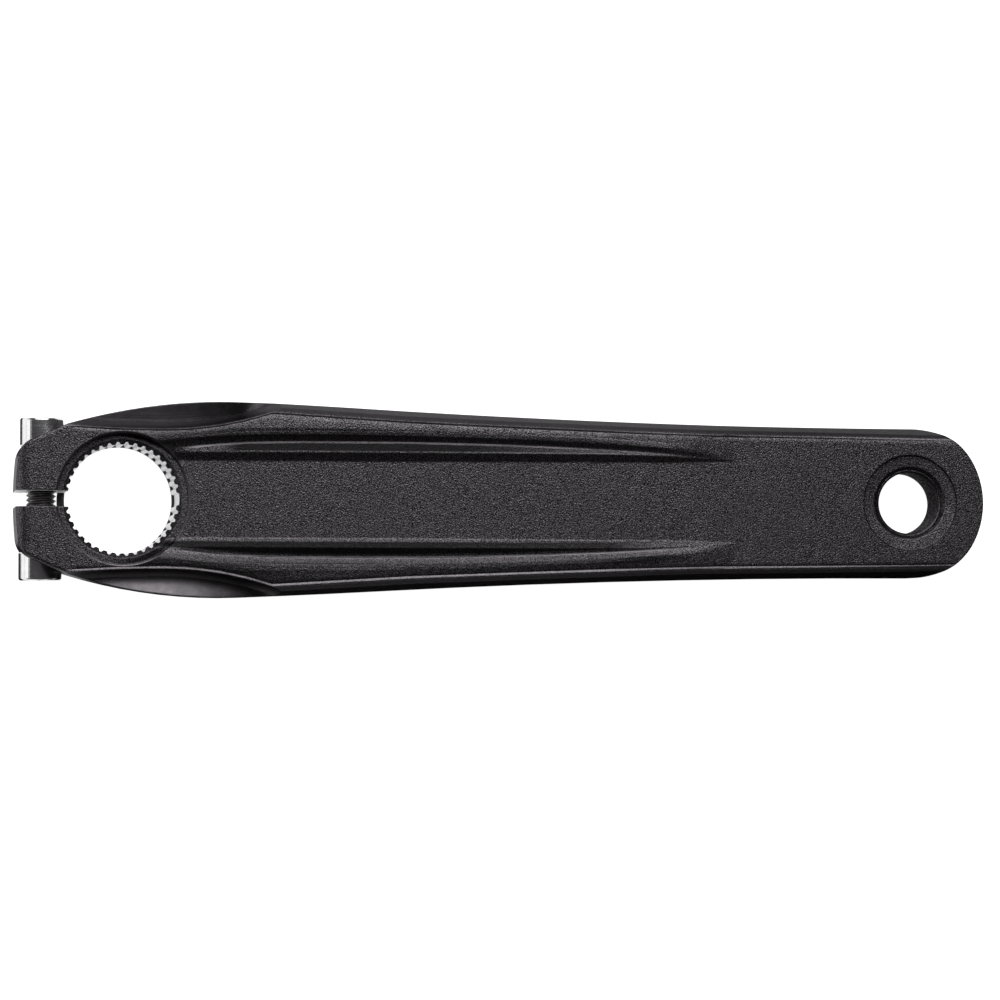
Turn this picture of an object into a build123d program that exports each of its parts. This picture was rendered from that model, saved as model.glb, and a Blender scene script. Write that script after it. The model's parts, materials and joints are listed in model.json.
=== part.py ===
from build123d import *
import math
import os

# Left bicycle crank arm with a split, splined clamp and a threaded pedal eye. Millimetres.
# X runs from the spindle axis to the pedal axis, Y across the arm, Z out of the outer face.
# The origin is on the spindle axis, halfway through the thickness of the clamp.

# Arm
crank_length = 170.0
clamp_thickness = 21.0
eye_thickness = 13.5
back_edge_radius = 2.0

# Plan outline, measured from the spindle axis
clamp_reach = 22.3
clamp_end_bulge = 0.75
clamp_corner_y = 11.3
clamp_corner_radius = 4.8
shoulder_x = 11.5
shoulder_half_width = 15.7
rise_x = 5.0
rise_half_width = 19.45
flange_x = 25.3
flange_half_width = 20.56
turn_x = 54.75
turn_half_width = 19.21
clamp_nose_radius = 3.0
clamp_edge_radius = 0.6

# Plan outline of the eye, measured from the pedal axis
eye_reach = 16.3
eye_turn_x = 1.5
eye_half_width = 16.17
eye_round_x = 14.3
eye_round_half_width = 8.3

# Recessed panel between the rails
panel_drop = 1.85
panel_start = 2.0
panel_half_width = 8.5
panel_flank_angle = 30.0
panel_flank_overlap = 4.0
rail_root = 6.0

# Rail stations by distance from the spindle axis. Each holds half width and height over the panel of
# the low ridge, the bottom of the lens groove, the top of its outer wall, the crest and the outer edge
rail_stations = [
    (2.0, (9.4, 0.5), (10.2, 0.95), (11.6, 1.6), (13.9, 1.91), (19.5, 1.89)),
    (14.0, (9.8, 0.72), (10.9, 0.7), (12.8, 1.9), (14.5, 2.24), (19.2, 2.2)),
    (26.0, (9.95, 0.83), (11.85, 0.5), (13.5, 2.18), (14.95, 2.5), (18.6, 2.3)),
    (38.0, (10.0, 0.85), (12.1, 0.42), (13.7, 2.27), (15.0, 2.6), (17.9, 2.32)),
    (60.0, (10.0, 0.83), (12.1, 0.42), (13.5, 1.97), (14.7, 2.3), (16.6, 2.13)),
    (82.0, (10.0, 0.78), (11.7, 0.45), (13.0, 1.65), (14.05, 1.95), (15.75, 1.8)),
    (104.0, (9.95, 0.7), (10.9, 0.52), (12.1, 1.14), (13.0, 1.4), (14.95, 1.24)),
    (118.0, (9.6, 0.52), (10.05, 0.5), (10.95, 0.86), (11.7, 0.98), (14.45, 0.82)),
    (128.0, (8.95, 0.2), (9.2, 0.24), (9.65, 0.29), (10.2, 0.32), (14.25, 0.18)),
    (138.0, (8.95, -0.87), (9.2, -0.83), (9.65, -0.78), (10.2, -0.75), (14.15, -0.9)),
]

# Outer edge of the face beyond the rail stations, in the same terms
edge_start_stations = [(20.0, (18.9, 2.3))]
edge_end_stations = [
    (134.0, (14.2, -0.08)),
    (150.0, (14.0, -0.12)),
    (170.0, (13.65, -0.12)),
    (190.0, (13.3, -0.12)),
]

# Section of that edge: a soft shoulder, a facet and a steep wall down to the flank
edge_shoulder_width = 1.0
edge_shoulder_start_angle = 7.0
edge_shoulder_end_angle = 14.0
edge_facet_width = 1.1
edge_facet_angle = 40.0
edge_wall_angle = 71.0

# Scallops beside the clamp
scallop_radius = 6.0
scallop_x = 8.5
scallop_face_half_width = 14.6
scallop_near_x = -26.0
scallop_near_bend = 280.0
scallop_far_x = 46.0
scallop_far_bend = 66.0

# Spindle bore
spline_places = 40
spline_tip_radius = 11.4
spline_depth = 0.55
spline_tip_land = 0.7
spline_root_width = 1.75
spline_tooth_overlap = 0.2
spline_lead = 1.05
cap_seat_shelf = 1.35
cap_seat_depth = 2.7
slot_width = 3.35

# Dust ring at the inner end of the bore
ring_outer_radius = 13.0
ring_wall = 1.55
ring_thickness = 2.0
ring_clearance = 0.1
ring_setback = 0.2
ring_edge = 0.3

# Clamp bolts
bolt_end_distance = 5.6
bolt_offset = 3.6
bolt_seat = 11.0
bolt_diameter = 6.0
bolt_length = 18.0
bolt_head_diameter = 9.1
bolt_head_height = 6.0
bolt_head_edge = 0.4
bolt_tip_edge = 0.6
bolt_socket_width = 5.0
bolt_socket_depth = 3.0
bolt_hole_clearance = 0.3
thread_clearance = 0.05
thread_run_out = 1.5
pocket_clearance = 0.6

# Pedal eye
pedal_thread_diameter = 14.288
pedal_rim_edge = 0.7
pedal_seat_radius = 10.25
pedal_seat_depth = 0.55

# Margins of blanks and cutters
blank_margin = 6.0
far = 40.0
clear = 2.0

# Tolerances for picking edges: places that agree, directions that lean
match = 0.001
slant = 0.1

# Derived places
outer_face = clamp_thickness / 2
back_face = -clamp_thickness / 2
panel_height = outer_face - panel_drop
eye_face = back_face + eye_thickness
panel_tilt = math.atan2(panel_height - eye_face, crank_length)
arm_tip = crank_length + eye_reach
clamp_corner_x = clamp_reach - clamp_end_bulge
bolt_x = clamp_reach - bolt_end_distance
spline_root_radius = spline_tip_radius + spline_depth
spline_lead_radius = spline_tip_radius + spline_lead
cap_seat_radius = spline_lead_radius + cap_seat_shelf
blank_half_width = flange_half_width + blank_margin


def panel_at(x):
    """Height of the panel at a distance from the spindle axis."""
    return panel_height - x * math.tan(panel_tilt)


def crest_arc_middle(crest, end):
    """Middle of the arc that leaves the crest level and reaches the end point."""
    run = end[0] - crest[0]
    fall = crest[1] - end[1]
    radius = (run**2 + fall**2) / (2 * fall)
    half_turn = math.asin(run / radius) / 2
    return (crest[0] + radius * math.sin(half_turn), crest[1] - radius * (1 - math.cos(half_turn)))


def raised(point, x):
    """A point given by its height over the panel, at a distance from the spindle axis."""
    return (point[0], point[1] + panel_at(x))


# One rail: a crowned ridge beside the panel with a lens groove in its inner slope
flank_start_y = panel_half_width - panel_flank_overlap
flank_start = (flank_start_y, -panel_flank_overlap * math.tan(math.radians(panel_flank_angle)))
with BuildPart() as rail:
    for x, *points in rail_stations:
        start, ridge, groove, wall_top, crest, edge = (raised(point, x) for point in (flank_start, *points))
        fall_angle = 2 * math.atan2(crest[1] - edge[1], edge[0] - crest[0])
        blank_z = edge[1] - (blank_half_width - edge[0]) * math.tan(fall_angle)
        root_z = panel_at(x) - rail_root
        with BuildSketch(Plane.YZ.offset(x)):
            with BuildLine():
                Polyline(start, ridge, groove, wall_top)
                ThreePointArc(wall_top, crest_arc_middle(crest, wall_top), crest)
                ThreePointArc(crest, crest_arc_middle(crest, edge), edge)
                Polyline(
                    edge,
                    (blank_half_width, blank_z),
                    (blank_half_width, root_z),
                    (flank_start_y, root_z),
                    start,
                )
            make_face()
    loft()
    split(bisect_by=Plane.XY.offset(outer_face), keep=Keep.BOTTOM)

# Cutter for one long edge of the outer face
shoulder_sines = [
    math.sin(math.radians(edge_shoulder_start_angle)),
    math.sin(math.radians(edge_shoulder_end_angle)),
]
shoulder_bend = edge_shoulder_width / (shoulder_sines[1] - shoulder_sines[0])
shoulder_angles = [
    edge_shoulder_start_angle,
    (edge_shoulder_start_angle + edge_shoulder_end_angle) / 2,
    edge_shoulder_end_angle,
]
facet_drop = edge_facet_width * math.tan(math.radians(edge_facet_angle))
wall_fall = math.tan(math.radians(edge_wall_angle))
edge_from = edge_start_stations[-1][0]
edge_to = edge_end_stations[0][0]
rail_edges = [(x, points[-1]) for x, *points in rail_stations if edge_from < x < edge_to]
edge_sections = edge_start_stations + rail_edges + edge_end_stations
with BuildPart() as edge_cutter:
    for x, point in edge_sections:
        edge_y, edge_z = raised(point, x)
        turn_y = edge_y - shoulder_bend * shoulder_sines[1]
        turn_z = edge_z - shoulder_bend * math.cos(math.radians(edge_shoulder_end_angle))
        arc = [
            (
                turn_y + shoulder_bend * math.sin(math.radians(angle)),
                turn_z + shoulder_bend * math.cos(math.radians(angle)),
            )
            for angle in shoulder_angles
        ]
        lead = (arc[0][0] - clear, arc[0][1] + clear)
        facet_end = (edge_y + edge_facet_width, edge_z - facet_drop)
        low_z = facet_end[1] - (blank_half_width - facet_end[0]) * wall_fall
        with BuildSketch(Plane.YZ.offset(x)):
            with BuildLine():
                ThreePointArc(*arc)
                Polyline(
                    arc[-1],
                    facet_end,
                    (blank_half_width, low_z),
                    (blank_half_width, lead[1]),
                    lead,
                    arc[0],
                )
            make_face()
    loft(ruled=True)

# Cutter for one scallop, a round tool that follows two bends level with the outer face
scallop_y = scallop_face_half_width + scallop_radius
near_turn = math.degrees(math.asin((scallop_x - scallop_near_x) / scallop_near_bend))
far_turn = math.degrees(math.asin((scallop_far_x - scallop_x) / scallop_far_bend))
with BuildPart() as scallop_cutter:
    with BuildLine(Plane.XY.offset(outer_face)) as scallop_path:
        CenterArc(
            (scallop_x, scallop_y + scallop_near_bend),
            scallop_near_bend,
            -90 - near_turn,
            near_turn,
        )
        CenterArc(
            (scallop_x, scallop_y + scallop_far_bend),
            scallop_far_bend,
            -90,
            far_turn,
        )
    with BuildSketch(Plane(scallop_path.line ^ 0)):
        Circle(scallop_radius)
    sweep()

with BuildPart() as crank_arm:
    # Side profile: flat back, level clamp face, panel falling to the eye
    with BuildSketch(Plane.XZ):
        with BuildLine():
            Polyline(
                (-clamp_reach, back_face),
                (arm_tip, back_face),
                (arm_tip, panel_at(arm_tip)),
                (panel_start, panel_at(panel_start)),
                (panel_start, outer_face),
                (-clamp_reach, outer_face),
                close=True,
            )
        make_face()
    extrude(amount=blank_half_width, both=True)
    nose = crank_arm.edges().filter_by(Axis.Y).group_by(Axis.X)[0].sort_by(Axis.Z)[-1]
    fillet(nose, clamp_nose_radius)
    add(rail.part)
    mirror(rail.part, about=Plane.XZ)

    # Plan outline
    with BuildSketch(Plane.XY.offset(-far)) as outline:
        with BuildLine():
            corner = (-clamp_corner_x, clamp_corner_y)
            shoulder_end = (-shoulder_x, shoulder_half_width)
            ThreePointArc((-clamp_corner_x, -clamp_corner_y), (-clamp_reach, 0), corner)
            eye_turn = (crank_length + eye_turn_x, eye_half_width)
            eye_round = (crank_length + eye_round_x, eye_round_half_width)
            shoulder = Line(corner, shoulder_end)
            flange = ThreePointArc(shoulder_end, (rise_x, rise_half_width), (flange_x, flange_half_width))
            fall = TangentArc(flange @ 1, (turn_x, turn_half_width), tangent=flange % 1)
            taper = TangentArc(fall @ 1, eye_turn, tangent=fall % 1)
            eye_corner = TangentArc(eye_turn, eye_round, tangent=taper % 1)
            for half in (shoulder, flange, fall, taper, eye_corner):
                mirror(half, about=Plane.XZ)
            ThreePointArc(eye_round, (arm_tip, 0), (eye_round[0], -eye_round_half_width))
        make_face()
        fillet(outline.vertices().group_by(Axis.X)[0], clamp_corner_radius)
    extrude(amount=2 * far, mode=Mode.INTERSECT)
    fillet(crank_arm.faces().sort_by(Axis.Z)[0].edges(), back_edge_radius)

    # Edges and scallops on both sides
    for cutter in (edge_cutter, scallop_cutter):
        add(cutter.part, mode=Mode.SUBTRACT)
        mirror(cutter.part, about=Plane.XZ, mode=Mode.SUBTRACT)

    # Spindle bore: cap seat, lead-in and splines with one place left out towards the pedal
    cap_seat = outer_face - cap_seat_depth
    with BuildSketch(Plane.XY.offset(cap_seat)):
        Circle(cap_seat_radius)
    extrude(amount=far, mode=Mode.SUBTRACT)
    with Locations((0, 0, cap_seat)):
        Cone(
            spline_tip_radius,
            spline_lead_radius,
            spline_lead,
            align=(Align.CENTER, Align.CENTER, Align.MAX),
            mode=Mode.SUBTRACT,
        )
    spline_pitch = 360 / spline_places
    with BuildSketch(Plane.XY.offset(-far)):
        Circle(spline_root_radius)
        with PolarLocations(
            spline_tip_radius,
            spline_places - 1,
            start_angle=spline_pitch,
            angular_range=360 - 2 * spline_pitch,
            endpoint=True,
        ):
            tooth_height = spline_depth + spline_tooth_overlap
            Polygon(
                (-spline_tooth_overlap, -spline_tip_land / 2),
                (0, -spline_tip_land / 2),
                (tooth_height, -spline_root_width / 2),
                (tooth_height, spline_root_width / 2),
                (0, spline_tip_land / 2),
                (-spline_tooth_overlap, spline_tip_land / 2),
                align=None,
                mode=Mode.SUBTRACT,
            )
        Circle(spline_tip_radius)
    extrude(amount=far + cap_seat, mode=Mode.SUBTRACT)

    # Seat of the dust ring
    ring_seat = back_face + ring_setback + ring_thickness
    with BuildSketch(Plane.XY.offset(ring_seat)):
        Circle(ring_outer_radius + ring_clearance)
    extrude(amount=-far, mode=Mode.SUBTRACT)

    # Clamp slot
    with Locations((0, 0, 0)):
        Box(
            far,
            slot_width,
            2 * far,
            align=(Align.MAX, Align.CENTER, Align.CENTER),
            mode=Mode.SUBTRACT,
        )

    # Bolt seats, clearance holes and threaded holes
    for side in (1, -1):
        seat = Plane((-bolt_x, side * bolt_seat, side * bolt_offset), z_dir=(0, side, 0))
        with BuildSketch(seat):
            Circle(bolt_head_diameter / 2 + pocket_clearance)
        extrude(amount=far, mode=Mode.SUBTRACT)
        with BuildSketch(seat):
            Circle(bolt_diameter / 2 + bolt_hole_clearance)
        extrude(amount=-bolt_seat, mode=Mode.SUBTRACT)
        with BuildSketch(seat):
            Circle(bolt_diameter / 2 + thread_clearance)
        extrude(amount=-(bolt_length + thread_run_out), mode=Mode.SUBTRACT)

    # Pedal eye: seat for the pedal shoulder, threaded hole and its rims
    pedal_seat = eye_face - pedal_seat_depth
    with BuildSketch(Plane.XY.offset(pedal_seat)):
        with Locations((crank_length, 0)):
            Circle(pedal_seat_radius)
    extrude(amount=far, mode=Mode.SUBTRACT)
    with BuildSketch(Plane.XY.offset(-far)):
        with Locations((crank_length, 0)):
            Circle(pedal_thread_diameter / 2)
    extrude(amount=2 * far, mode=Mode.SUBTRACT)
    pedal_rims = crank_arm.edges().filter_by(
        lambda edge: edge.geom_type == GeomType.CIRCLE
        and abs(edge.radius - pedal_thread_diameter / 2) < match
    )
    chamfer(pedal_rims, pedal_rim_edge)

    # Soft edge on the slanted shoulders of the clamp
    shoulder_edges = crank_arm.edges().filter_by(
        lambda edge: edge.geom_type == GeomType.LINE
        and abs(edge.center().Z - outer_face) < match
        and min(abs((edge % 0).X), abs((edge % 0).Y)) > slant
    )
    fillet(shoulder_edges, clamp_edge_radius)
crank_arm.part.label = "crank_arm"

# Hexagon socket head screws, one from each side
bolts = {}
for name, side in (("clamp_bolt_upper", 1), ("clamp_bolt_lower", -1)):
    seat = Plane((-bolt_x, side * bolt_seat, side * bolt_offset), z_dir=(0, side, 0))
    with BuildPart() as bolt:
        with BuildSketch(seat):
            Circle(bolt_head_diameter / 2)
        extrude(amount=bolt_head_height)
        chamfer(bolt.edges().sort_by(Axis((0, 0, 0), (0, side, 0)))[-1], bolt_head_edge)
        with BuildSketch(seat.offset(bolt_head_height)):
            RegularPolygon(bolt_socket_width / 2, 6, major_radius=False)
        extrude(amount=-bolt_socket_depth, mode=Mode.SUBTRACT)
        with BuildSketch(seat):
            Circle(bolt_diameter / 2)
        extrude(amount=-bolt_length)
        chamfer(bolt.edges().sort_by(Axis((0, 0, 0), (0, side, 0)))[0], bolt_tip_edge)
    bolt.part.label = name
    bolts[name] = bolt

with BuildPart() as dust_ring:
    with BuildSketch(Plane.XY.offset(back_face + ring_setback)):
        Circle(ring_outer_radius)
        Circle(ring_outer_radius - ring_wall, mode=Mode.SUBTRACT)
    extrude(amount=ring_thickness)
    chamfer(dust_ring.edges().filter_by(GeomType.CIRCLE).sort_by(SortBy.RADIUS)[:2], ring_edge)
dust_ring.part.label = "dust_ring"

os.makedirs("parts", exist_ok=True)
export_step(crank_arm.part, "parts/crank_arm.step")
for name, bolt in bolts.items():
    export_step(bolt.part, f"parts/{name}.step")
export_step(dust_ring.part, "parts/dust_ring.step")
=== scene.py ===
import json
import math

import bmesh
import bpy
from mathutils import Matrix, Vector


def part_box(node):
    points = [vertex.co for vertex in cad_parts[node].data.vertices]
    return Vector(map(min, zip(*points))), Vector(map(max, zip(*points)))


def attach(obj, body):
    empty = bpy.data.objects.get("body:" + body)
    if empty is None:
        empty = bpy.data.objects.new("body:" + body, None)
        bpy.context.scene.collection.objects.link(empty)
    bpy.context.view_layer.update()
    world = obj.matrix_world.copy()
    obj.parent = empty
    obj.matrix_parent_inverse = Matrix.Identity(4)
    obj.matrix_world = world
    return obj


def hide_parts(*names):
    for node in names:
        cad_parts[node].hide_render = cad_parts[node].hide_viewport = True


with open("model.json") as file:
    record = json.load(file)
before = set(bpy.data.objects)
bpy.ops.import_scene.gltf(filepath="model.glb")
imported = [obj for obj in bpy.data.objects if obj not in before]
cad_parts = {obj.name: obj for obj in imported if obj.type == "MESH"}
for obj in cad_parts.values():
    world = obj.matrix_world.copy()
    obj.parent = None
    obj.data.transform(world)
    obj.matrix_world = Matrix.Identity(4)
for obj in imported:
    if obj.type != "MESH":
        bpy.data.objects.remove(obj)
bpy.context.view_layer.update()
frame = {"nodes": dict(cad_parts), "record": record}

MM = 0.001
scene = bpy.context.scene
arm = frame["nodes"]["crank_arm"]
ring = frame["nodes"]["dust_ring"]
pedal_mount = next(mount for mount in frame["record"]["mounts"] if mount["name"] == "pedal_thread")
bolt_low, bolt_high = [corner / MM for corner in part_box("clamp_bolt_upper")]

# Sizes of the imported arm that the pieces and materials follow, in millimetres
CRANK_LENGTH = pedal_mount["pos_m"][0] / MM
BACK_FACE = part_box("crank_arm")[0].z / MM
SPLINE_ROOT = 11.95
SPLINE_FRONT = 6.75
CAP_SEAT = 13.8
SLOT_HALF_WIDTH = 1.675
PEDAL_SEAT = 10.25

# Pedal thread, which stops short of both ends of the pedal hole
PEDAL_RADIUS = pedal_mount["dims"]["r_mm"]
PEDAL_MIDDLE = pedal_mount["pos_m"][2] / MM
PEDAL_END_GAP = 0.075
PEDAL_HALF_LENGTH = pedal_mount["dims"]["length_mm"] / 2 - PEDAL_END_GAP
PEDAL_LOW = PEDAL_MIDDLE - PEDAL_HALF_LENGTH
PEDAL_HIGH = PEDAL_MIDDLE + PEDAL_HALF_LENGTH
PEDAL_PITCH = 1.27
PEDAL_DEPTH = 0.55
PEDAL_FLANK = 0.46 * PEDAL_PITCH
PEDAL_CREST = 0.07 * PEDAL_PITCH
PEDAL_WALL_GAP = 0.01
PEDAL_END_MARGIN = 0.05

# Clamp screws: head and place, shank and tip, thread, socket
HEAD_RADIUS = (bolt_high.x - bolt_low.x) / 2
HEAD_HEIGHT = 6.0
HEAD_ROUNDING = 0.5
BOLT_X = (bolt_low.x + bolt_high.x) / 2
BOLT_OFFSET = (bolt_low.z + bolt_high.z) / 2
BOLT_SEAT = bolt_high.y - HEAD_HEIGHT
BOLT_LENGTH = BOLT_SEAT - bolt_low.y
BOLT_RADIUS = 3.0
TIP_RADIUS = 1.9
TIP_EDGE_RADIUS = 2.35
TIP_EDGE_HEIGHT = 0.12
THREAD_PITCH = 1.0
THREAD_DEPTH = 0.58
THREAD_FROM_TIP = 0.35
THREAD_TO_HEAD = 0.9
THREAD_RUN_OUT = 0.8
THREAD_PROFILE = (0.0, 0.0, 0.12, 0.42, 0.74, 1.0, 1.0, 0.74, 0.42, 0.12)
SOCKET_HALF_WIDTH = 2.5
SOCKET_DEPTH = 3.0
SOCKET_MOUTH = 0.62
SOCKET_CHAMFER = 0.35
DRILL_RADIUS = 0.4
DRILL_DEPTH = 0.7

# Lens grooves of the rails: distance from the spindle axis, half width of the ridge and of the bottom
LENS = (
    (2.0, 9.4, 10.2),
    (14.0, 9.8, 10.9),
    (26.0, 9.95, 11.85),
    (38.0, 10.0, 12.1),
    (60.0, 10.0, 12.1),
    (82.0, 10.0, 11.7),
    (104.0, 9.95, 10.9),
    (118.0, 9.6, 10.05),
)

# The lower ridge lies further in: distance from the spindle axis, shift
LOWER_RIDGE_SHIFT = ((4.0, 0.5), (14.0, 1.3), (30.0, 1.4))

# Foot of the rails on the panel: distance from the spindle axis, half width
FOOT = ((60.0, 8.5), (82.0, 8.6), (104.0, 8.7))

# Edge of the outer face, along the scallop and then the facet: distance from the spindle axis, half width
EDGE = (
    (-14.0, 15.5),
    (-2.0, 14.8),
    (8.5, 14.6),
    (14.0, 14.81),
    (20.0, 15.52),
    (26.0, 16.76),
    (31.2, 18.3),
    (38.0, 17.9),
    (60.0, 16.6),
    (82.0, 15.75),
    (104.0, 14.95),
    (128.0, 14.3),
    (170.0, 13.9),
    (190.0, 13.6),
)

# The side walls and scallops are smooth past the edge of the face: distance past it, share
FLANK = ((0.1, 0.0), (0.4, 1.0))

# Fine relief of the face: height by the distance past a line, and its share along the arm
FOOT_HEIGHT = ((-0.5, 0.0), (-0.25, 0.05), (0.05, 0.2))
FOOT_REACH = ((9.0, 0.0), (14.0, 1.0), (116.0, 1.0), (126.0, 0.0))
WALL_HEIGHT = ((0.0, 0.0), (0.25, -0.34), (1.25, -0.94))
WALL_REACH = ((10.0, 0.0), (30.0, 1.0), (70.0, 1.0), (104.0, 0.0))
CROWN_HEIGHT = ((1.25, 0.0), (1.8, -0.18), (2.4, -0.31))
LOWER_CROWN_HEIGHT = ((2.4, 0.0), (3.0, -0.06), (3.6, -0.09))
CROWN_REACH = ((10.0, 0.0), (30.0, 1.0), (112.0, 1.0), (122.0, 0.0))
SHOULDER_HEIGHT = ((-4.2, 0.0), (-2.5, -0.36), (-0.6, -0.84))
SHOULDER_REACH = ((-4.0, 0.0), (6.0, 1.0), (16.0, 1.0), (26.0, 0.4), (36.0, 0.1), (46.0, 0.0))
LIP_HEIGHT = ((-1.2, 0.0), (-0.8, -0.03), (-0.45, -0.12), (0.05, 0.14))
LIP_REACH = ((-12.0, 0.0), (-9.0, 1.0))
RIM_HEIGHT = ((CAP_SEAT, -0.2), (CAP_SEAT + 0.35, 0.0))
EYE_HEIGHT = ((PEDAL_RADIUS, -0.22), (PEDAL_SEAT, 0.0))
COAT_GRAIN = 0.07
FLANK_GRAIN = 0.015
BARE_GRAIN = 0.003
EDGE_SOFTNESS = 0.4

# Hollow of the scallops: rises outwards, ever less, and along the arm ever more
BOWL_START = 1.6
BOWL_WIDTH = 4.2
BOWL_SLOPE = 1.25
BOWL_LEVELLING = 0.127
BOWL_RISE_START = 12.0
BOWL_RISE_LENGTH = 22.0
BOWL_RISE = 0.022
BOWL_EDGE = 0.1
BOWL_REACH = ((-13.0, 0.0), (-8.0, 1.0), (25.0, 1.0), (31.0, 0.0))

# Painted shade in the lens grooves: share past the ridge, short of the bottom and along the arm
LENS_START = ((0.0, 0.0), (0.4, 1.0))
LENS_FADE = ((104.0, 1.0), (116.0, 0.0))
UPPER_LENS_END = ((-0.25, 1.0), (-0.1, 0.0))
UPPER_LENS_REACH = ((16.0, 0.0), (24.0, 1.0))
UPPER_LENS_SHADE = ((74.0, 0.97), (104.0, 0.5))
LOWER_LENS_END = ((-0.8, 1.0), (-0.25, 0.0))
LOWER_LENS_REACH = ((5.0, 0.0), (9.0, 1.0))
LOWER_LENS_SHADE = ((60.0, 0.9), (104.0, 0.8))

# Painted highlights, shade and sheen on the coat, and the colour of its walls: share by the distance past a
# line, and along the arm
PAINTED_HIGHLIGHT_BOTTOM = ((-0.25, 0.0), (-0.1, 0.7), (0.2, 0.7), (0.35, 0.0))
PAINTED_HIGHLIGHT_BOTTOM_REACH = ((11.0, 0.0), (16.0, 1.0), (112.0, 1.0), (122.0, 0.0))
PAINTED_HIGHLIGHT_EDGE = ((-0.5, 0.0), (-0.35, 0.6), (0.0, 0.6), (0.1, 0.0))
PAINTED_HIGHLIGHT_RIDGE = ((-0.1, 0.0), (0.05, 0.6), (0.2, 0.6), (0.35, 0.0))
PAINTED_HIGHLIGHT_RIDGE_REACH = ((60.0, 0.0), (90.0, 1.0), (112.0, 1.0), (120.0, 0.0))
PAINTED_HIGHLIGHT_RIM = ((CAP_SEAT - 0.05, 0.0), (CAP_SEAT + 0.05, 0.8), (CAP_SEAT + 0.3, 0.8), (CAP_SEAT + 0.4, 0.0))
# Painted shade on the rail crowns
CROWN_SHADE = ((0.3, 0.0), (0.8, 0.45), (1.6, 0.45), (3.2, 0.0))
CROWN_SHADE_REACH = ((26.0, 0.0), (40.0, 1.0), (112.0, 1.0), (122.0, 0.0))
# Painted shade near the scallops' edge, turning into a painted sheen further out
BOWL_SHADE_AND_SHEEN = ((1.6, 0.21), (2.4, 0.43), (3.4, 1.0))
BOWL_SHADE_AND_SHEEN_REACH = ((8.0, 1.0), (20.0, 0.4), (28.0, 0.16))
# Painted shade on the side walls towards the pedal end
WALL_SHADE_REACH = ((100.0, 0.0), (145.0, 1.0))
FLANK_TONE_SHARE = 0.85
# Painted shade in the hollow beside the seat, between the rail's bottom line and the edge
HOLLOW_START = ((0.2, 0.0), (1.0, 0.55))
HOLLOW_END = ((-0.8, 1.0), (-0.5, 0.0))
HOLLOW_REACH = ((-2.0, 0.0), (8.0, 1.0), (22.0, 1.0), (42.0, 0.0))
# Painted shade: a dark line round the rim of the pedal seat
EYE_OUTLINE_RADIUS = PEDAL_SEAT + 0.08
EYE_OUTLINE = ((0.08, 0.8), (0.18, 0.0))

# Angles between faces, in degrees, up to which a piece is shaded smooth
ARM_SMOOTH_ANGLE = 9.0
RING_SMOOTH_ANGLE = 30.0
SCREW_SMOOTH_ANGLE = 38.0
THREAD_SMOOTH_ANGLE = 30.0

# Colours
WHITE = (1.0, 1.0, 1.0, 1.0)
BLACK = (0.0, 0.0, 0.0, 1.0)
COAT_DARK = (0.006, 0.0056, 0.006, 1.0)
COAT_LIGHT = (0.116, 0.1085, 0.1155, 1.0)
COAT_EVEN = (0.05, 0.0467, 0.05, 1.0)
# Painted highlight colour of the light lines on the coat
COAT_PAINTED_HIGHLIGHT = (0.13, 0.122, 0.13, 1.0)
COAT_SHINE = (0.46, 0.46, 0.46, 1.0)
# Painted shade on the rail crowns
CROWN_PAINTED_SHADE = (0.02, 0.0187, 0.02, 1.0)
# Painted sheen in the scallops
BOWL_SHEEN = (0.14, 0.131, 0.14, 1.0)
WALL_LIGHT = (0.055, 0.0515, 0.055, 1.0)
# Painted shade on the side walls towards the pedal end
WALL_PAINTED_SHADE = (0.032, 0.03, 0.032, 1.0)
# Painted shade in the hollow beside the seat and on the rim of the pedal seat
PAINTED_SHADE_DARK = (0.012, 0.012, 0.012, 1.0)
# Painted shade in the lens grooves
LENS_DARK = (0.005, 0.005, 0.005, 1.0)
BARE_DARK = (0.72, 0.72, 0.73, 1.0)
BARE_LIGHT = (0.9, 0.9, 0.91, 1.0)
STEEL_DARK = (0.56, 0.55, 0.55, 1.0)
STEEL_LIGHT = (0.68, 0.68, 0.69, 1.0)
SHANK_STEEL = (0.10, 0.097, 0.095, 1.0)
PLASTIC_DARK = (0.006, 0.006, 0.006, 1.0)
PLASTIC_LIGHT = (0.014, 0.014, 0.014, 1.0)
PAPER_DARK = (0.50, 0.50, 0.50, 1.0)
PAPER_LIGHT = (0.54, 0.54, 0.54, 1.0)
# Painted dark reflection: colour of the black cards
REFLECTED_SHADE_DARK = (0.02, 0.02, 0.02, 1.0)
REFLECTED_SHADE_LIGHT = (0.04, 0.04, 0.04, 1.0)
SKY = (0.97, 0.93, 0.98, 1.0)

# Studio: floor and cards in millimetres, camera in degrees, metres and millimetres of lens
FLOOR_LOW = (-2500.0, -2500.0)
FLOOR_HIGH = (2500.0, 2500.0)
FLOOR_LEVEL = BACK_FACE - 0.04
CARD_LEVEL = BACK_FACE - 0.02
PAPER_GLOW = 0.985
SKY_STRENGTH = 0.07
CAMERA_YAW = math.radians(8.29)
CAMERA_PITCH = math.radians(1.8)
CAMERA_ROLL = math.radians(-0.013)
CAMERA_DISTANCE = 0.95
CAMERA_TARGET = Vector((80.94, 0.33, 0.0)) * MM
FOCAL_LENGTH = 160.1
SENSOR_WIDTH = 36.0


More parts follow.
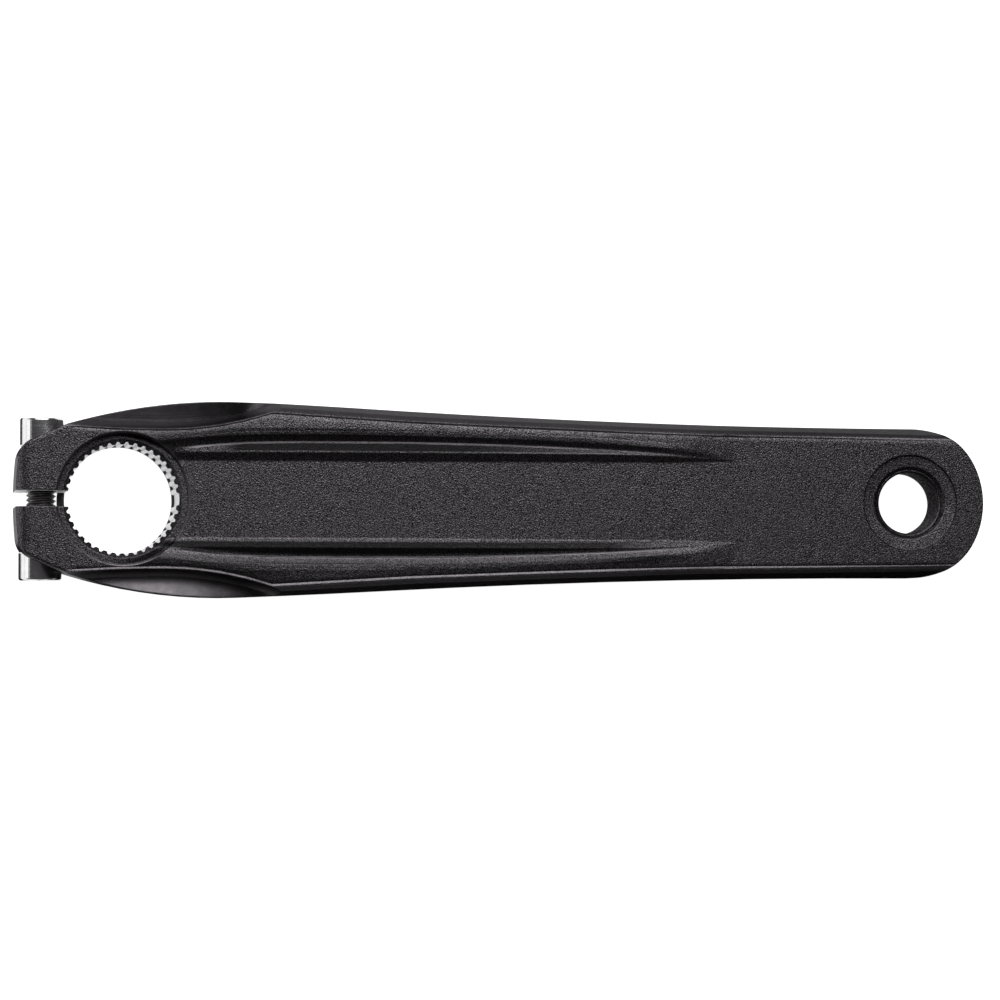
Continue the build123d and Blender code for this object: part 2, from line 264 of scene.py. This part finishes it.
class Tree:
    """A material's node tree with short calls."""

    def __init__(self, name):
        self.material = bpy.data.materials.new(name)
        self.material.use_nodes = True
        self.tree = self.material.node_tree
        self.shader = self.tree.nodes["Principled BSDF"]
        self.coords = self.tree.nodes.new("ShaderNodeTexCoord").outputs["Object"]

    def put(self, value, socket):
        """Writes a number or colour on the socket, and links anything else to it."""
        if isinstance(value, (int, float, tuple)):
            socket.default_value = value
        else:
            self.tree.links.new(value, socket)

    def set(self, name, value):
        self.put(value, self.shader.inputs[name])

    def axes(self):
        """The place on the object along X, Y and Z, in millimetres."""
        split = self.tree.nodes.new("ShaderNodeSeparateXYZ")
        self.put(self.coords, split.inputs[0])
        return [self.math("DIVIDE", axis, MM) for axis in split.outputs]

    def math(self, kind, *values):
        """One operation, which takes a row of more than two values from the left."""
        node = self.tree.nodes.new("ShaderNodeMath")
        node.operation = kind
        for value, socket in zip(values[:2], node.inputs):
            self.put(value, socket)
        if len(values) > 2:
            return self.math(kind, node.outputs[0], *values[2:])
        return node.outputs[0]

    def plus(self, *values):
        return self.math("ADD", *values)

    def minus(self, *values):
        return self.math("SUBTRACT", *values)

    def times(self, *values):
        return self.math("MULTIPLY", *values)

    def length(self, u, v):
        return self.math("SQRT", self.plus(self.times(u, u), self.times(v, v)))

    def noise(self, scale, detail=2.0, stretch=None, turn=None):
        node = self.tree.nodes.new("ShaderNodeTexNoise")
        source = self.coords
        if stretch or turn:
            mapping = self.tree.nodes.new("ShaderNodeMapping")
            mapping.inputs["Scale"].default_value = stretch or (1.0, 1.0, 1.0)
            mapping.inputs["Rotation"].default_value = turn or (0.0, 0.0, 0.0)
            self.put(source, mapping.inputs["Vector"])
            source = mapping.outputs[0]
        self.put(source, node.inputs["Vector"])
        node.inputs["Scale"].default_value = scale
        node.inputs["Detail"].default_value = detail
        return node.outputs["Fac"]

    def curve(self, value, points):
        """Straight stretches through a row of points, level beyond both ends."""
        total = points[0][1]
        for (x0, y0), (x1, y1) in zip(points, points[1:]):
            node = self.tree.nodes.new("ShaderNodeMapRange")
            self.put(value, node.inputs["Value"])
            node.inputs["From Min"].default_value = x0
            node.inputs["From Max"].default_value = x1
            node.inputs["To Min"].default_value = 0.0
            node.inputs["To Max"].default_value = y1 - y0
            total = self.plus(total, node.outputs["Result"])
        return total

    def blend(self, factor, first, second, kind="FLOAT"):
        node = self.tree.nodes.new("ShaderNodeMix")
        node.data_type = kind
        self.put(factor, node.inputs["Factor"])
        self.put(first, node.inputs["A"])
        self.put(second, node.inputs["B"])
        return node.outputs["Result"]

    def mix(self, factor, first, second):
        return self.blend(factor, first, second, kind="RGBA")

    def soft_edge(self, radius):
        node = self.tree.nodes.new("ShaderNodeBevel")
        node.samples = 6
        node.inputs["Radius"].default_value = radius
        return node.outputs["Normal"]

    def bump(self, height, strength, distance, under=None):
        node = self.tree.nodes.new("ShaderNodeBump")
        self.put(strength, node.inputs["Strength"])
        node.inputs["Distance"].default_value = distance
        self.put(height, node.inputs["Height"])
        if under is not None:
            self.put(under, node.inputs["Normal"])
        return node.outputs["Normal"]


class ArmTree(Tree):
    """The arm's node tree, with the places on the arm that its look follows, in millimetres."""

    def __init__(self, name):
        super().__init__(name)
        x, y, self.level = self.axes()
        self.along = x
        self.across = self.math("ABSOLUTE", y)
        self.below = self.math("LESS_THAN", y, 0.0)
        self.radius = self.length(x, y)
        self.eye_radius = self.length(self.minus(x, CRANK_LENGTH), y)
        self.past_foot = self.past(FOOT)
        self.past_bottom = self.past([(place, bottom) for place, ridge, bottom in LENS])
        self.past_edge = self.past(EDGE)
        upper_ridge = self.past([(place, ridge) for place, ridge, bottom in LENS])
        self.past_ridge = self.plus(upper_ridge, self.times(self.below, self.reach(LOWER_RIDGE_SHIFT)))
        self.flank = self.curve(self.past_edge, FLANK)
        outside = self.math("GREATER_THAN", self.past_edge, BOWL_EDGE)
        self.in_bowl = self.times(self.reach(BOWL_REACH), outside)
        self.bare = self.bare_metal()

    def reach(self, points):
        return self.curve(self.along, points)

    def past(self, line):
        """How far a place lies outside a line on the face."""
        return self.minus(self.across, self.reach(line))

    def bare_metal(self, margin=0.02):
        """One on the splines and in the clamp slot."""
        in_bore = self.times(
            self.math("LESS_THAN", self.radius, SPLINE_ROOT + margin),
            self.math("LESS_THAN", self.level, SPLINE_FRONT - margin),
        )
        in_slot = self.times(
            self.math("LESS_THAN", self.across, SLOT_HALF_WIDTH + margin),
            self.math("LESS_THAN", self.along, -SPLINE_ROOT),
        )
        return self.math("MAXIMUM", in_bore, in_slot)


def lens_shade(t):
    """Share of the painted shade in the lens grooves."""
    upper = t.times(
        t.curve(t.past_bottom, UPPER_LENS_END),
        t.reach(UPPER_LENS_REACH),
        t.reach(UPPER_LENS_SHADE),
    )
    lower = t.times(
        t.curve(t.past_bottom, LOWER_LENS_END),
        t.reach(LOWER_LENS_REACH),
        t.reach(LOWER_LENS_SHADE),
    )
    return t.times(t.curve(t.past_ridge, LENS_START), t.reach(LENS_FADE), t.blend(t.below, upper, lower))


def painted_highlight_lines(t):
    """Share of the painted highlight lines along the bottom line, the edge, the upper ridge and the seat's
    rim.
    """
    upper = t.minus(1.0, t.below)
    return t.math(
        "MAXIMUM",
        t.times(t.curve(t.past_bottom, PAINTED_HIGHLIGHT_BOTTOM), t.reach(PAINTED_HIGHLIGHT_BOTTOM_REACH)),
        t.curve(t.past_edge, PAINTED_HIGHLIGHT_EDGE),
        t.times(t.curve(t.past_ridge, PAINTED_HIGHLIGHT_RIDGE), t.reach(PAINTED_HIGHLIGHT_RIDGE_REACH), upper),
        t.curve(t.radius, PAINTED_HIGHLIGHT_RIM),
    )


def coat_colour(t):
    """Speckled dark coat, with the wall colour and the painted highlights, shade and sheen of single places
    laid over each other.
    """
    speck = t.noise(5200.0, detail=0.0, turn=(0.4, 0.7, 0.9))
    broad = t.noise(60.0, detail=3.0)
    coat = t.mix(t.curve(speck, ((0.38, 0.0), (0.62, 1.0))), COAT_DARK, COAT_LIGHT)
    coat = t.mix(t.curve(broad, ((0.3, 0.0), (0.7, 0.2))), coat, COAT_EVEN)

    # Painted shade on the rail crowns
    crown = t.times(t.curve(t.past_bottom, CROWN_SHADE), t.reach(CROWN_SHADE_REACH))
    coat = t.mix(crown, coat, CROWN_PAINTED_SHADE)

    # Painted shade and sheen in the scallops, strongest near the clamp
    bowl_sheen_share = t.times(t.curve(t.past_edge, BOWL_SHADE_AND_SHEEN), t.reach(BOWL_SHADE_AND_SHEEN_REACH))
    bowl_painted_light = t.mix(bowl_sheen_share, BLACK, BOWL_SHEEN)
    # Side walls: their own colour, darkening towards the pedal end as painted shade; the scallops take
    # their painted shade and sheen
    wall_colour_and_shade = t.mix(t.reach(WALL_SHADE_REACH), WALL_LIGHT, WALL_PAINTED_SHADE)
    flank_colour_and_painted_light = t.mix(t.in_bowl, wall_colour_and_shade, bowl_painted_light)
    coat = t.mix(t.times(t.flank, FLANK_TONE_SHARE), coat, flank_colour_and_painted_light)

    # Painted highlights along the bottom line, the edge, the upper ridge and the seat's rim
    coat = t.mix(painted_highlight_lines(t), coat, COAT_PAINTED_HIGHLIGHT)
    # Painted shade in the hollow beside the seat
    hollow = t.times(
        t.curve(t.past_bottom, HOLLOW_START),
        t.curve(t.past_edge, HOLLOW_END),
        t.reach(HOLLOW_REACH),
    )
    coat = t.mix(hollow, coat, PAINTED_SHADE_DARK)
    # Painted shade in the lens grooves
    coat = t.mix(lens_shade(t), coat, LENS_DARK)
    # Painted shade: a dark line round the rim of the pedal seat
    from_outline = t.math("ABSOLUTE", t.minus(t.eye_radius, EYE_OUTLINE_RADIUS))
    return t.mix(t.curve(from_outline, EYE_OUTLINE), coat, PAINTED_SHADE_DARK)


def face_relief(t):
    """Fine relief of the face, in millimetres."""
    lower_crown = t.times(t.below, t.curve(t.past_bottom, LOWER_CROWN_HEIGHT))
    crown = t.plus(t.curve(t.past_bottom, CROWN_HEIGHT), lower_crown)
    return t.plus(
        t.curve(t.radius, RIM_HEIGHT),
        t.times(t.curve(t.past_foot, FOOT_HEIGHT), t.reach(FOOT_REACH)),
        t.times(t.curve(t.past_bottom, WALL_HEIGHT), t.reach(WALL_REACH)),
        t.times(crown, t.reach(CROWN_REACH)),
        t.times(t.curve(t.past_edge, SHOULDER_HEIGHT), t.reach(SHOULDER_REACH)),
        t.times(t.curve(t.past_edge, LIP_HEIGHT), t.reach(LIP_REACH)),
        t.curve(t.eye_radius, EYE_HEIGHT),
    )


def bowl_relief(t):
    """Hollow of the two scallops, in millimetres."""
    inward = t.curve(t.past_edge, ((BOWL_START, 0.0), (BOWL_START + BOWL_WIDTH, BOWL_WIDTH)))
    onward = t.reach(((BOWL_RISE_START, 0.0), (BOWL_RISE_START + BOWL_RISE_LENGTH, BOWL_RISE_LENGTH)))
    slope = t.minus(BOWL_SLOPE, t.times(inward, BOWL_LEVELLING))
    return t.plus(t.times(inward, slope), t.times(onward, onward, BOWL_RISE))


def arm_material():
    """Dark bead-blasted coat, with bare machined metal on the splines and in the clamp slot."""
    t = ArmTree("arm_coat")
    tool_marks = t.noise(400.0, stretch=(1.0, 1.0, 0.03))
    coarse = t.noise(900.0)
    t.set("Base Color", t.mix(t.bare, coat_colour(t), t.mix(tool_marks, BARE_DARK, BARE_LIGHT)))
    t.set("Roughness", t.blend(t.bare, t.curve(coarse, ((0.3, 0.36), (0.7, 0.44))), 0.45))
    t.set("Metallic", t.blend(t.bare, 0.97, 0.6))
    t.set("Specular Tint", t.mix(t.bare, COAT_SHINE, WHITE))

    grain_height = t.curve(t.flank, ((0.0, COAT_GRAIN), (1.0, FLANK_GRAIN)))
    grain_height = t.blend(t.bare, grain_height, BARE_GRAIN)
    grain = t.times(t.noise(3600.0, detail=0.0, turn=(0.6, 0.5, 0.3)), grain_height)
    bowl_normal = t.bump(bowl_relief(t), t.in_bowl, MM, t.soft_edge(EDGE_SOFTNESS * MM))
    t.set("Normal", t.bump(t.plus(face_relief(t), grain), 1.0, MM, bowl_normal))
    return t.material


def steel_material():
    """Polished screw steel with faint turning marks, darker on the threaded shank."""
    t = Tree("screw_steel")
    marks = t.noise(2500.0, stretch=(0.1, 1.0, 0.1))
    broad = t.noise(300.0)
    x, y, z = t.axes()
    shank = t.math("LESS_THAN", t.math("ABSOLUTE", y), BOLT_SEAT - 0.05)
    t.set("Base Color", t.mix(shank, t.mix(broad, STEEL_DARK, STEEL_LIGHT), SHANK_STEEL))
    t.set("Metallic", 1.0)
    t.set("Roughness", t.blend(shank, t.curve(marks, ((0.3, 0.14), (0.7, 0.24))), 0.4))
    t.set("Normal", t.bump(marks, 0.1, 0.01 * MM))
    return t.material


def ring_material():
    """Matt black plastic with a fine moulded texture."""
    t = Tree("ring_plastic")
    fine = t.noise(2200.0)
    t.set("Base Color", t.mix(fine, PLASTIC_DARK, PLASTIC_LIGHT))
    t.set("Roughness", t.curve(fine, ((0.3, 0.45), (0.7, 0.6))))
    t.set("Normal", t.bump(fine, 0.15, 0.02 * MM))
    return t.material


def floor_material():
    """Pale paper that the camera, the metal and a see-through piece meet as white."""
    t = Tree("floor_paper")
    path = t.tree.nodes.new("ShaderNodeLightPath").outputs
    seen = t.math("MAXIMUM", path["Is Camera Ray"], path["Is Glossy Ray"], path["Is Transmission Ray"])
    t.set("Base Color", t.mix(t.noise(20.0), PAPER_DARK, PAPER_LIGHT))
    t.set("Roughness", 0.9)
    t.set("Emission Color", WHITE)
    t.set("Emission Strength", t.times(seen, PAPER_GLOW))
    return t.material


def reflected_shade_material():
    """Black card that stands in for shade beside the arm in glossy reflections: a painted dark reflection.
    """
    t = Tree("reflected_shade_card")
    t.set("Base Color", t.mix(t.noise(300.0), REFLECTED_SHADE_DARK, REFLECTED_SHADE_LIGHT))
    t.set("Roughness", 0.9)
    return t.material


def dress(obj, material):
    obj.data.materials.clear()
    obj.data.materials.append(material)


def new_mesh(name, verts, faces):
    mesh = bpy.data.meshes.new(name)
    mesh.from_pydata([Vector(v) * MM for v in verts], [], faces)
    mesh.update()
    obj = bpy.data.objects.new(name, mesh)
    scene.collection.objects.link(obj)
    return obj


def fix_normals(obj):
    work = bmesh.new()
    work.from_mesh(obj.data)
    bmesh.ops.recalc_face_normals(work, faces=work.faces)
    work.to_mesh(obj.data)
    work.free()


def smooth_by_angle(obj, degrees):
    """Shade smooth below an angle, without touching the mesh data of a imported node."""
    bpy.context.view_layer.objects.active = obj
    for other in bpy.context.selected_objects:
        other.select_set(False)
    obj.select_set(True)
    bpy.ops.object.shade_auto_smooth(angle=math.radians(degrees))
    obj.select_set(False)


def rings_to_mesh(name, rings, place):
    """Joins closed rings of equal count into one skin and closes both ends with a fan."""
    count = len(rings[0])
    verts = [place(point) for row in rings for point in row]
    faces = []
    for row in range(len(rings) - 1):
        for i in range(count):
            j = (i + 1) % count
            a = row * count
            faces.append((a + i, a + j, a + count + j, a + count + i))
    for row, flip in ((0, True), (len(rings) - 1, False)):
        level = sum(point[2] for point in rings[row]) / count
        verts.append(place((0.0, 0.0, level)))
        centre = len(verts) - 1
        for i in range(count):
            j = (i + 1) % count
            corner = (row * count + i, row * count + j, centre)
            faces.append(corner[::-1] if flip else corner)
    return new_mesh(name, verts, faces)


def thread_rise(phase):
    """Height of the screw thread, from 0 to 1, at a share of its turn."""
    steps = len(THREAD_PROFILE)
    whole = int(phase * steps)
    share = phase * steps - whole
    first = THREAD_PROFILE[whole % steps]
    second = THREAD_PROFILE[(whole + 1) % steps]
    return first * (1 - share) + second * share


def screw(name, side):
    """Socket head screw: threaded shank from the tip up, round head, hexagon socket."""
    count = 72
    angles = [2 * math.pi * i / count for i in range(count)]

    def outline(radii, level):
        return [(r * math.cos(a), r * math.sin(a), level) for r, a in zip(radii, angles)]

    def circle(radius, level):
        return outline([radius] * count, level)

    def hexagon(half_width, level):
        turns = [(a + math.pi / 6) % (math.pi / 3) - math.pi / 6 for a in angles]
        return outline([half_width / math.cos(turn) for turn in turns], level)

    def threaded(level, fade):
        phases = [(level / THREAD_PITCH - a / (2 * math.pi)) % 1.0 for a in angles]
        depths = [THREAD_DEPTH * (1 - thread_rise(phase) * fade) for phase in phases]
        return outline([BOLT_RADIUS - depth for depth in depths], level)

    rows = [circle(TIP_RADIUS, -BOLT_LENGTH), circle(TIP_EDGE_RADIUS, -BOLT_LENGTH + TIP_EDGE_HEIGHT)]
    low = -BOLT_LENGTH + THREAD_FROM_TIP
    high = -THREAD_TO_HEAD
    steps = int((high - low) / THREAD_PITCH * len(THREAD_PROFILE))
    for step in range(steps + 1):
        level = low + (high - low) * step / steps
        fade = min(1.0, (level - low) / THREAD_RUN_OUT, (high - level) / THREAD_RUN_OUT)
        rows.append(threaded(level, max(fade, 0.0)))

    neck = ((BOLT_RADIUS - 0.15, -0.7), (BOLT_RADIUS - 0.02, -0.3), (BOLT_RADIUS - 0.02, 0.0))
    under_head = ((HEAD_RADIUS - 0.35, 0.0), (HEAD_RADIUS - 0.1, 0.08), (HEAD_RADIUS, 0.3))
    head_wall = [(HEAD_RADIUS, level) for level in (2.0, 4.0, HEAD_HEIGHT - HEAD_ROUNDING)]
    rows += [circle(radius, level) for radius, level in (*neck, *under_head, *head_wall)]
    rounding_steps = 5
    for step in range(1, rounding_steps + 1):
        turn = step / rounding_steps * math.pi / 2
        radius = HEAD_RADIUS - HEAD_ROUNDING * (1 - math.cos(turn))
        rows.append(circle(radius, HEAD_HEIGHT - HEAD_ROUNDING * (1 - math.sin(turn))))
    rows.append(circle(SOCKET_HALF_WIDTH + SOCKET_MOUTH, HEAD_HEIGHT))
    rows.append(hexagon(SOCKET_HALF_WIDTH, HEAD_HEIGHT - SOCKET_CHAMFER))
    rows.append(hexagon(SOCKET_HALF_WIDTH, HEAD_HEIGHT - SOCKET_DEPTH))
    rows.append(circle(DRILL_RADIUS, HEAD_HEIGHT - SOCKET_DEPTH - DRILL_DEPTH))

    def place(point):
        u, v, w = point
        return (BOLT_X + u, side * (BOLT_SEAT + w), side * BOLT_OFFSET - side * v)

    return rings_to_mesh(name, rows, place)


def pedal_thread():
    """Helical ridge that fills the pedal hole from its major to its minor diameter."""
    per_turn = 72
    run_out = 20
    steps = int((PEDAL_HIGH - PEDAL_LOW) / PEDAL_PITCH * per_turn)
    lowest = PEDAL_LOW - PEDAL_END_MARGIN
    highest = PEDAL_HIGH + PEDAL_END_MARGIN
    outer = PEDAL_RADIUS - PEDAL_WALL_GAP
    verts = []
    faces = []
    for step in range(steps + 1):
        angle = -2 * math.pi * step / per_turn
        level = PEDAL_LOW + (PEDAL_HIGH - PEDAL_LOW) * step / steps
        fade = min(1.0, step / run_out, (steps - step) / run_out)
        inner = PEDAL_RADIUS - PEDAL_DEPTH * fade - 2 * PEDAL_WALL_GAP
        profile = ((outer, -PEDAL_FLANK), (inner, -PEDAL_CREST), (inner, PEDAL_CREST), (outer, PEDAL_FLANK))
        for radius, offset in profile:
            x = CRANK_LENGTH + radius * math.cos(angle)
            y = radius * math.sin(angle)
            verts.append((x, y, min(max(level + offset, lowest), highest)))
    for step in range(steps):
        a = 4 * step
        for k in range(4):
            m = (k + 1) % 4
            faces.append((a + k, a + m, a + 4 + m, a + 4 + k))
    faces.append((0, 1, 2, 3))
    last = 4 * steps
    faces.append((last + 3, last + 2, last + 1, last))
    return new_mesh("pedal_thread_ridge", verts, faces)


def sheet(name, low, high, level):
    """A flat sheet of the set, from its low to its high corner."""
    corners = [(low[0], low[1]), (high[0], low[1]), (high[0], high[1]), (low[0], high[1])]
    return new_mesh(name, [(x, y, level) for x, y in corners], [(0, 1, 2, 3)])


def softbox(name, place, target, size, power):
    light = bpy.data.lights.new(name, "AREA")
    light.shape = "RECTANGLE"
    light.size = size[0]
    light.size_y = size[1]
    light.energy = power
    obj = bpy.data.objects.new(name, light)
    scene.collection.objects.link(obj)
    obj.location = place
    obj.rotation_euler = (Vector(target) - Vector(place)).to_track_quat("-Z", "Y").to_euler()


coat = arm_material()
steel = steel_material()
dress(arm, coat)
dress(ring, ring_material())
smooth_by_angle(arm, ARM_SMOOTH_ANGLE)
smooth_by_angle(ring, RING_SMOOTH_ANGLE)

for name, side in (("clamp_bolt_upper", 1), ("clamp_bolt_lower", -1)):
    piece = screw(name.replace("bolt", "screw"), side)
    fix_normals(piece)
    dress(piece, steel)
    smooth_by_angle(piece, SCREW_SMOOTH_ANGLE)
    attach(piece, "root")
    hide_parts(name)

ridge = pedal_thread()
fix_normals(ridge)
dress(ridge, coat)
smooth_by_angle(ridge, THREAD_SMOOTH_ANGLE)
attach(ridge, "root")

floor = sheet("floor", FLOOR_LOW, FLOOR_HIGH, FLOOR_LEVEL)
dress(floor, floor_material())

# Painted dark reflections: black cards on the floor, out of the camera's sight, casting no shadow and
# giving no diffuse light, that the lower wall and the screw heads mirror in place of shade beside the arm
black = reflected_shade_material()
for name, low, high in (
    ("card_wall", (-8.0, -90.0), (260.0, -12.0)),
    ("card_upper", (-42.0, 10.0), (-20.0, 26.0)),
    ("card_lower", (-34.0, -26.0), (-20.0, -10.0)),
):
    card = sheet(name, low, high, CARD_LEVEL)
    dress(card, black)
    card.visible_camera = False
    card.visible_diffuse = False
    card.visible_shadow = False

# Light: a weak even world, a big box over the far side and a small low one at the clamp's end
world = bpy.data.worlds.new("studio")
scene.world = world
world.use_nodes = True
background = world.node_tree.nodes["Background"]
background.inputs["Color"].default_value = SKY
background.inputs["Strength"].default_value = SKY_STRENGTH
softbox("top_box", place=(-0.05, 0.579, 0.728), target=(-0.17, 0.0, 0.0), size=(1.1, 0.733), power=11.4)
softbox("left_box", place=(-0.5, 0.01, 0.12), target=(-0.02, 0.0, 0.0), size=(0.3, 0.2), power=0.3)

# Camera, almost straight above the face
away = Vector(
    (
        -math.sin(CAMERA_YAW) * math.cos(CAMERA_PITCH),
        -math.sin(CAMERA_PITCH),
        math.cos(CAMERA_YAW) * math.cos(CAMERA_PITCH),
    )
)
right = Vector((0.0, 1.0, 0.0)).cross(away).normalized()
up = away.cross(right)
lens = bpy.data.cameras.new("camera")
lens.lens = FOCAL_LENGTH
lens.sensor_width = SENSOR_WIDTH
lens.clip_start = 0.01
lens.clip_end = 20.0
camera = bpy.data.objects.new("camera", lens)
scene.collection.objects.link(camera)
camera.matrix_world = (
    Matrix.Translation(CAMERA_TARGET + away * CAMERA_DISTANCE)
    @ Matrix((right, up, away)).transposed().to_4x4()
    @ Matrix.Rotation(CAMERA_ROLL, 4, "Z")
)
scene.camera = camera
scene.view_settings.view_transform = "Standard"
